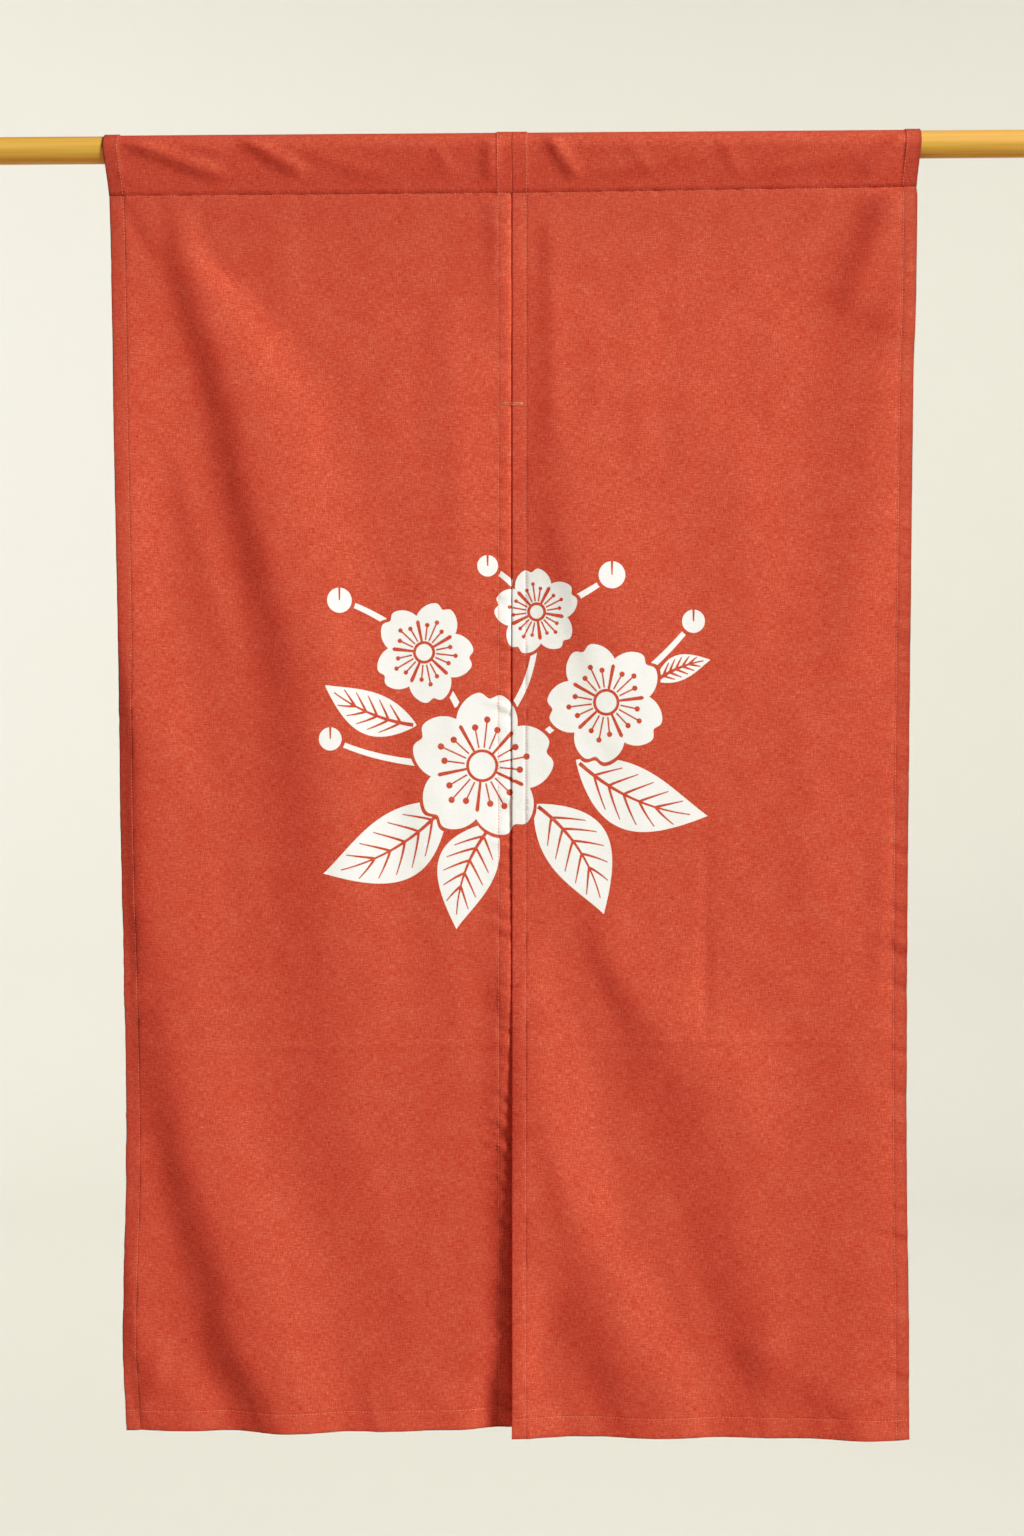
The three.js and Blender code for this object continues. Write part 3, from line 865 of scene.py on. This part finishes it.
class Points:
    """The points of a cloth mesh, and their places on the flat cloth as across and minus the drop."""

    def __init__(self):
        self.xyz = []
        self.flat = []
        self.count = 0

    def add(self, xyz, flat):
        """Adds points and gives their numbers."""
        self.xyz.append(xyz.reshape(-1, 3))
        self.flat.append(flat.reshape(-1, 2))
        start, self.count = self.count, self.count + len(self.xyz[-1])
        return np.arange(start, self.count)

    def add_open(self, ids, xyz, flat):
        """Adds the points whose numbers aren't given yet."""
        still_open = ids < 0
        ids[still_open] = self.add(xyz[still_open], flat[still_open])
        return ids


def add_sheet(points, panel, across, drop):
    """The sheet's front and back, which share the points of their side and lower edges."""
    front_face, back_face = sheet_faces(panel, across, drop)
    flat = join(across, -drop)
    front = points.add(front_face, flat).reshape(drop.shape)
    back = np.full(drop.shape, -1)
    for edge in (np.s_[:, 0], np.s_[:, -1], np.s_[-1]):
        back[edge] = front[edge]
    return front, points.add_open(back, back_face, flat)


def add_pocket(points, panel, columns, front_top, back_top):
    """The pocket's outside, from the front's top row to the back's, and its inside."""
    outer_face, inner_face = (face.transpose(1, 0, 2) for face in pocket_faces(panel, columns))
    seam = line_drop(panel, "seam", columns)

    def add_ring(face, ids):
        run = run_along(face)
        flat = join(np.broadcast_to(columns, run.shape), run - seam)
        return points.add_open(ids, face, flat)

    outer = np.full(outer_face.shape[:2], -1)
    outer[0], outer[-1] = front_top, back_top
    outer = add_ring(outer_face, outer)
    apex = front_top.copy()
    apex[1:-1] = points.add(inner_face[0, 1:-1], join(columns, -seam)[1:-1])
    inner = np.full(outer.shape, -1)
    for side in (0, -1):
        inner[:, side] = outer[:, side]
        inner[side] = apex
    return outer, add_ring(inner_face, inner)


def grid_key(across, below):
    """A place of the grid as a key that bears the rounding of the cut."""
    return round(across, 4), round(below, 3)


def add_print(points, panel, columns, below, front):
    """Triangles in place of the front's window on the print, which are white, and the window."""
    shapes = print_on_panel(panel)
    c0, c1, r0, r1 = window = print_window(shapes, columns, below)
    cuts, triangles, white = cut_print(shapes, columns, below, window)
    known = {
        grid_key(columns[c], below[r]): front[r, c]
        for r in range(r0, r1 + 1)
        for c in range(c0, c1 + 1)
    }
    ids = np.array([known.get(grid_key(*cut), -1) for cut in cuts.tolist()])
    across, drop = cuts[:, 0], row_drop(panel, cuts[:, 0], cuts[:, 1])
    face = sheet_faces(panel, across, drop)[0]
    ids = points.add_open(ids, face, join(across, -drop))
    return ids[triangles], white, np.s_[r0:r1, c0:c1]


def make_panel(panel, materials):
    """One closed sheet: front, back, and the pocket's outer and inner faces."""
    columns = stations(SIDE_COLUMNS, SIDE_COLUMNS, panel["width"], COLUMN_PITCH)
    below = stations(UPPER_ROWS, LOWER_ROWS, sheet_length(panel), ROW_PITCH)
    across, below_grid = np.meshgrid(columns, below)
    points = Points()
    front, back = add_sheet(points, panel, across, row_drop(panel, across, below_grid))
    outer, inner = add_pocket(points, panel, columns, front[0], back[0])
    triangles, white, window = add_print(points, panel, columns, below, front)

    plain = np.ones((len(below) - 1, len(columns) - 1), bool)
    plain[window] = False
    faces = quads(front[:-1], front[1:])[plain.ravel()].tolist()
    for face, inwards in ((back, -1), (outer, -1), (inner, 1)):
        faces += quads(face[:-1], face[1:])[:, ::inwards].tolist()
    slots = np.zeros(len(faces) + len(triangles), int)
    slots[len(faces) :] = white
    faces += triangles.tolist()
    mesh = make_mesh(panel["name"] + "_cloth", np.concatenate(points.xyz), faces, materials)
    mesh.polygons.foreach_set("material_index", slots)
    set_cloth_map(mesh, panel, np.concatenate(points.flat))
    return link_object(mesh.name, mesh)


def set_cloth_map(mesh, panel, flat):
    """Gives the mesh its places on the flat cloth, in metres, and its painted shade."""
    # Painted shade, stored on the mesh for the cloth materials
    painted_shade = mesh.attributes.new("painted_shade", "FLOAT", "POINT")
    painted_shade.data.foreach_set("value", painted_shade_share(panel, flat[:, 0], -flat[:, 1]))
    corners = np.empty(len(mesh.loops), int)
    mesh.loops.foreach_get("vertex_index", corners)
    mesh.uv_layers.new(name="cloth_map").data.foreach_set("uv", (flat * MM)[corners].ravel())


def make_mesh(name, points, faces, materials):
    """A smooth mesh from points in millimetres."""
    mesh = bpy.data.meshes.new(name)
    mesh.from_pydata((np.asarray(points) * MM).tolist(), [], faces)
    for material in materials:
        mesh.materials.append(material)
    mesh.polygons.foreach_set("use_smooth", np.ones(len(faces), bool))
    mesh.update()
    return mesh


def link_object(name, data):
    obj = bpy.data.objects.new(name, data)
    bpy.context.scene.collection.objects.link(obj)
    return obj


# Profile of one stitch along its length: place, and how far it lies below its full height
STITCH_ALONG = np.array([-0.5, -0.28, 0.0, 0.28, 0.5])
STITCH_SINK = np.array([0.85, 0.12, 0.0, 0.12, 0.85])
STITCH_SIDES = 6
STITCH_LIFT = 0.1
SEAM_LIFT = -0.12
LINE_STEP = 1.1
LINE_END = 1.0
SLOPE_STEP = 0.4
AHEAD_STEP = 0.2
SMALLEST = 1e-9


def stitch_tubes(path, out, pitch, length, thread, lift):
    """Rings of short tubes along a path. out is the way away from the cloth at each point."""
    run = run_along(path)
    count = max(1, round(run[-1] / pitch))
    middle = (np.arange(count) + 0.5) * run[-1] / count
    spots = middle[:, None] + STITCH_ALONG[None, :] * length

    def along(values, places):
        return np.stack([np.interp(places, run, values[:, k]) for k in range(3)], axis=-1)

    centre, away = along(path, spots), along(out, spots)
    ahead = along(path, spots + AHEAD_STEP) - centre
    ahead /= np.maximum(np.linalg.norm(ahead, axis=-1, keepdims=True), SMALLEST)
    side = np.cross(ahead, away)
    centre = centre + away * (lift - thread * STITCH_SINK[None, :, None])
    turn = full_turn(STITCH_SIDES)[:, None]
    ring = away[:, :, None] * np.cos(turn) + side[:, :, None] * np.sin(turn)
    return centre[:, :, None] + thread / 2 * ring


def make_tubes(name, runs, material):
    """Joins runs of closed tubes, each given by its rings, into one object."""
    faces, total = [], 0
    for rings in runs:
        ids = total + np.arange(rings[..., 0].size).reshape(rings.shape[:3])
        total += ids.size
        closed = np.concatenate([ids, ids[..., :1]], axis=-1)
        faces += quads(closed[:, :-1], closed[:, 1:])[:, [0, 3, 2, 1]].tolist()
        faces += ids[:, 0, ::-1].tolist() + ids[:, -1].tolist()
    points = np.concatenate([rings.reshape(-1, 3) for rings in runs])
    return link_object(name, make_mesh(name, points, faces, [material]))


def surface_line(panel, across, drop, back=False):
    """A line on the sheet and the way out of it, for places given along the line."""

    def line(right, down):
        return sheet_faces(panel, across + right, drop + down)[back]

    beside = line(SLOPE_STEP, 0) - line(-SLOPE_STEP, 0)
    out = unit(np.cross(line(0, SLOPE_STEP) - line(0, -SLOPE_STEP), beside))
    return line(0, 0), -out if back else out


def pocket_line(panel, across):
    """A line round the pocket's outside and the way out of it."""
    left, line, right = pocket_faces(panel, across + SLOPE_STEP * np.array([-1, 0, 1]))[0]
    return line, unit(np.cross(right - left, np.gradient(line, axis=0)))


def make_stitching(panel, material):
    """Straight stitching along both side hems, the pocket's seam and the lower hem."""
    side_lines = (SIDE_STITCH, panel["width"] - SIDE_STITCH)
    runs = []

    def sew(line, out, lift=STITCH_LIFT):
        runs.append(stitch_tubes(line, out, STITCH_PITCH, STITCH_LENGTH, THREAD, lift))

    for back in (False, True):
        for across in side_lines:
            top, bottom = line_drop(panel, "seam", across), line_drop(panel, "lower_edge", across)
            drop = np.arange(top + LINE_END, bottom - LINE_END, LINE_STEP)
            sew(*surface_line(panel, np.full(len(drop), across), drop, back))
        across = np.arange(LINE_END, panel["width"] - LINE_END, LINE_STEP)
        seam = line_drop(panel, "seam", across) + SEAM_STITCH
        sew(*surface_line(panel, across, seam, back), lift=SEAM_LIFT)
        hem = line_drop(panel, "lower_edge", across) - LOWER_STITCH
        sew(*surface_line(panel, across, hem, back))
    for across in side_lines:
        sew(*pocket_line(panel, across))
    return make_tubes(panel["name"] + "_stitching", runs, material)


def make_tack(material):
    """The hand-sewn bar that keeps the slit from tearing further up."""
    width = LEFT_PANEL["width"]
    left = np.linspace(width - TACK_REACH, width - TACK_START, TACK_POINTS)
    right = np.linspace(TACK_START, TACK_REACH, TACK_POINTS)
    sag = np.linspace(0, 1, TACK_POINTS)
    runs = []
    for shift, droop in TACK_STRANDS:
        drop = TACK_DROP + shift + droop * sag
        halves = [surface_line(LEFT_PANEL, left, drop), surface_line(RIGHT_PANEL, right, drop[::-1])]
        line = np.concatenate([half for half, _ in halves])
        line[:, 1] += (line[:, 1].min() - line[:, 1]) * TACK_TAUT
        away = np.tile([0.0, -1.0, 0.0], (len(line), 1))
        length = run_along(line)[-1]
        runs.append(stitch_tubes(line, away, length, length * TACK_FILL, TACK_THREAD, TACK_LIFT))
    return make_tubes("slit_tack", runs, material)


ROD_SIDES = 96
ROD_EASE = 1.2
ROD_EASE_STEPS = 5
ROD_PLAIN = 20.0
ROD_STATIONS = 30


def make_rod(material):
    """The pole, with its end edges eased."""
    turn = np.linspace(math.pi / 2, 0, ROD_EASE_STEPS)
    end = [(ROD_EASE * (1 - math.sin(t)), ROD_RADIUS - ROD_EASE * (1 - math.cos(t))) for t in turn]
    middle = [(x, ROD_RADIUS) for x in np.linspace(ROD_PLAIN, ROD_LENGTH - ROD_PLAIN, ROD_STATIONS)]
    profile = end + middle + [(ROD_LENGTH - x, radius) for x, radius in end[::-1]]
    turn = full_turn(ROD_SIDES)
    rings = [[(x, radius * math.cos(t), radius * math.sin(t)) for t in turn] for x, radius in profile]
    pole = make_tubes("rod_pole", [np.array([rings])], material)
    for end_face in pole.data.polygons[-2:]:
        end_face.use_smooth = False
    return pole


class Nodes:
    """A material and short ways to build its shader."""

    def __init__(self, name, roughness, specular=0.5):
        self.material = bpy.data.materials.new(name)
        self.material.use_nodes = True
        self.tree = self.material.node_tree
        self.set_shader({"Roughness": roughness, "Specular IOR Level": specular})

    def fill(self, node, inputs):
        """Joins a node's inputs to other nodes' outputs, or sets them to values."""
        for name, value in inputs.items():
            if isinstance(value, bpy.types.NodeSocket):
                self.tree.links.new(value, node.inputs[name])
            else:
                node.inputs[name].default_value = value

    def set_shader(self, inputs):
        self.fill(self.tree.nodes["Principled BSDF"], inputs)

    def add(self, kind, output, inputs, **settings):
        """The output of a new node."""
        node = self.tree.nodes.new(kind)
        for key, value in settings.items():
            setattr(node, key, value)
        self.fill(node, inputs)
        return node.outputs[output]

    def noise(self, kind, scale, detail, roughness):
        """Noise over one kind of texture coordinates, scaled along each direction."""
        place = self.add("ShaderNodeTexCoord", kind, {})
        place = self.add("ShaderNodeMapping", "Vector", {"Vector": place, "Scale": scale})
        inputs = {"Vector": place, "Scale": 1.0, "Detail": detail, "Roughness": roughness}
        return self.add("ShaderNodeTexNoise", "Fac", inputs)

    def math(self, operation, a, b):
        return self.add("ShaderNodeMath", "Value", {0: a, 1: b}, operation=operation)

    def blend(self, parts):
        """Weighted sum of noises about 0.5."""
        total = 0.5
        for value, weight in parts:
            swing = self.math("SUBTRACT", value, 0.5)
            total = self.math("ADD", self.math("MULTIPLY", swing, weight), total)
        return total

    def ramp(self, value, stops):
        """Colours along a value."""
        color = self.add("ShaderNodeValToRGB", "Color", {"Fac": value})
        elements = color.node.color_ramp.elements
        while len(elements) < len(stops):
            elements.new(0.5)
        for element, (place, rgb) in zip(elements, stops):
            element.position = place
            element.color = (*rgb, 1)
        return color

    def bump(self, height, distance, strength):
        inputs = {"Height": height, "Distance": distance, "Strength": strength}
        self.set_shader({"Normal": self.add("ShaderNodeBump", "Normal", inputs)})


# Linen: slubs across, weaker threads down, and clouds of uneven dye. Each noise has its scale across,
# down and through the cloth, its detail and roughness, and its weights in the tone and the bump.
WEAVE = [
    ((110, 780, 1), 3.0, 0.6, 0.95, 0.8),
    ((260, 1500, 1), 2.0, 0.5, 0.85, 0.5),
    ((900, 150, 1), 2.0, 0.55, 0.85, 0.6),
    ((28, 36, 1), 3.0, 0.55, 0.28, 0.0),
]

# Roughness and specular level of the surfaces, and depth in metres and strength of their bumps
CLOTH_FINISH = (0.92, 0.08)
CLOTH_BUMP = (0.0006, 0.35)
WOOD_FINISH = (0.58, 0.25)
WOOD_BUMP = (0.0002, 0.3)
THREAD_ROUGHNESS = 0.7

# Noises as scale, detail and roughness, and the weights of the wood's two in its tone
THREAD_TWIST = ((900, 900, 900), 2.0, 0.5)
WOOD_GRAIN = ((6, 260, 260), 4.0, 0.6)
WOOD_STREAK = ((1.5, 70, 70), 3.0, 0.5)
GRAIN_WEIGHT = 0.5
STREAK_WEIGHT = 0.9

# How strongly the weave shows in each dye, and the colours along its tone or the wood's
RED_CONTRAST = 1.0
WHITE_CONTRAST = 0.5
RED_STOPS = [
    (0.0, (0.28, 0.027, 0.014)),
    (0.2, (0.45, 0.05, 0.024)),
    (0.5, (0.578, 0.0845, 0.0485)),
    (0.9, (0.68, 0.148, 0.104)),
]
# Colour towards which painted shade darkens the red cloth
RED_PAINTED_SHADE = (0.12, 0.042, 0.028)
WHITE_STOPS = [(0.15, (0.8, 0.78, 0.73)), (0.5, (0.9, 0.89, 0.865)), (0.85, (0.94, 0.935, 0.92))]
# Colour towards which painted shade darkens the white print
WHITE_PAINTED_SHADE = (0.5, 0.46, 0.4)
THREAD_STOPS = [(0.3, (0.62, 0.13, 0.08)), (0.7, (0.78, 0.25, 0.17))]
WOOD_STOPS = [(0.2, (0.51, 0.21, 0.033)), (0.5, (0.68, 0.32, 0.066)), (0.8, (0.78, 0.42, 0.115))]


def cloth_material(name, stops, contrast, painted_shade_color):
    """Woven cloth, whose dye goes towards a darker colour by the mesh's painted shade."""
    nodes = Nodes(name, *CLOTH_FINISH)
    tones, heights = [], []
    for *noise, tone, height in WEAVE:
        value = nodes.noise("UV", *noise)
        tones.append((value, tone * contrast))
        heights.append((value, height))
    # The mesh's painted shade mixes the dye towards the painted shade colour
    painted_shade = nodes.add("ShaderNodeAttribute", "Fac", {}, attribute_name="painted_shade")
    dye_with_painted_shade = {"Fac": painted_shade, "Color1": nodes.ramp(nodes.blend(tones), stops), "Color2": (*painted_shade_color, 1)}
    nodes.set_shader({"Base Color": nodes.add("ShaderNodeMixRGB", "Color", dye_with_painted_shade)})
    nodes.bump(nodes.blend(heights), *CLOTH_BUMP)
    return nodes.material


def thread_material():
    """Red sewing thread, a little lighter than the cloth."""
    nodes = Nodes("thread_red", THREAD_ROUGHNESS)
    twist = nodes.noise("Object", *THREAD_TWIST)
    nodes.set_shader({"Base Color": nodes.ramp(twist, THREAD_STOPS)})
    return nodes.material


def wood_material():
    """Honey-coloured varnished wood, grained along the pole."""
    nodes = Nodes("rod_wood", *WOOD_FINISH)
    grain = nodes.noise("Object", *WOOD_GRAIN)
    streak = nodes.noise("Object", *WOOD_STREAK)
    tone = nodes.blend([(grain, GRAIN_WEIGHT), (streak, STREAK_WEIGHT)])
    nodes.set_shader({"Base Color": nodes.ramp(tone, WOOD_STOPS)})
    nodes.bump(grain, *WOOD_BUMP)
    return nodes.material


# The studio, in metres
WARM_WHITE = (1, 0.985, 0.95)
AIR_STRENGTH = 0.06
FLOOR_COLOR = (0.86, 0.85, 0.8)
FLOOR_ROUGHNESS = 0.8
FLOOR_HEIGHT = -3.0
FLOOR_STEPS = 64
FLOOR_PROFILE = [(0.0, 0.0), (5.5, 0.0), (7.5, 0.35), (8.6, 1.3), (9.0, 2.8), (9.0, 9.0)]

# Each light's name, place, target, size, energy and spread in degrees
LIGHTS = [
    ("key", (6.6, -4.3, 3.3), (0.6, 0, 0.45), 3.0, 300, 100),
    ("backdrop_left", (-2.4, 2.5, 3.2), (-1.5, 8.5, 0.2), 2.0, 116, 180),
    ("backdrop_right", (3.6, 2.5, 3.2), (2.7, 8.5, 0.2), 2.0, 158, 180),
]

# Tones of a camera's picture: middle tones a little lifted and dark ones deeper, in all colours alike
ALL_CHANNELS = 3
TONES = [(0.05, 0.043), (0.1, 0.1), (0.2, 0.25), (0.3, 0.37), (0.45, 0.515), (0.645, 0.66), (0.8, 0.84)]


def make_camera():
    data = bpy.data.cameras.new("camera")
    data.sensor_fit = "VERTICAL"
    data.sensor_height = SENSOR_HEIGHT
    data.lens = FOCAL_PIXELS / PHOTO_HEIGHT * SENSOR_HEIGHT
    data.clip_end = CAMERA_REACH
    camera = link_object("camera", data)
    camera.location = CAMERA_PLACE
    camera.rotation_euler = (math.radians(90 - CAMERA_TILT), 0, math.radians(CAMERA_TURN))
    bpy.context.scene.camera = camera


def area_light(name, place, target, size, energy, spread):
    data = bpy.data.lights.new(name, "AREA")
    data.shape = "DISK"
    data.size = size
    data.energy = energy
    data.color = WARM_WHITE
    data.spread = math.radians(spread)
    light = link_object(name, data)
    light.location = place
    light.rotation_euler = (Vector(target) - Vector(place)).to_track_quat("-Z", "Y").to_euler()


def make_floor():
    """A wide pale bowl, so that the floor runs up into a plain background on every side."""
    points = [
        (SLIT_X + radius / MM * math.cos(t), radius / MM * math.sin(t), (FLOOR_HEIGHT + height) / MM)
        for t in full_turn(FLOOR_STEPS)
        for radius, height in FLOOR_PROFILE
    ]
    ids = np.arange(len(points)).reshape(FLOOR_STEPS, len(FLOOR_PROFILE))
    faces = quads(ids, np.roll(ids, -1, axis=0)).tolist()
    nodes = Nodes("floor_pale", FLOOR_ROUGHNESS)
    nodes.set_shader({"Base Color": (*FLOOR_COLOR, 1)})
    floor = link_object("floor", make_mesh("floor", points, faces, [nodes.material]))


def make_studio():
    world = bpy.data.worlds.new("studio_air")
    bpy.context.scene.world = world
    world.use_nodes = True
    background = world.node_tree.nodes["Background"]
    background.inputs["Color"].default_value = (*WARM_WHITE, 1)
    background.inputs["Strength"].default_value = AIR_STRENGTH
    for light in LIGHTS:
        area_light(*light)
    make_floor()
    make_camera()


def set_tones():
    view = bpy.context.scene.view_settings
    view.view_transform = "Standard"
    view.use_curve_mapping = True
    for tone in TONES:
        view.curve_mapping.curves[ALL_CHANNELS].points.new(*tone)
    view.curve_mapping.update()


cloth_red = cloth_material("cloth_red", RED_STOPS, RED_CONTRAST, RED_PAINTED_SHADE)
print_white = cloth_material("print_white", WHITE_STOPS, WHITE_CONTRAST, WHITE_PAINTED_SHADE)
thread_red = thread_material()

for spec in (LEFT_PANEL, RIGHT_PANEL):
    lay_out(spec)
    cloth = make_panel(spec, [cloth_red, print_white])
    stitching = make_stitching(spec, thread_red)
    for piece in (cloth, stitching):
        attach(piece, "root")
    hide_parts(spec["name"])

tack = make_tack(thread_red)
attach(tack, "root")

rod = make_rod(wood_material())
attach(rod, "root")
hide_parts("rod")

make_studio()
set_tones()
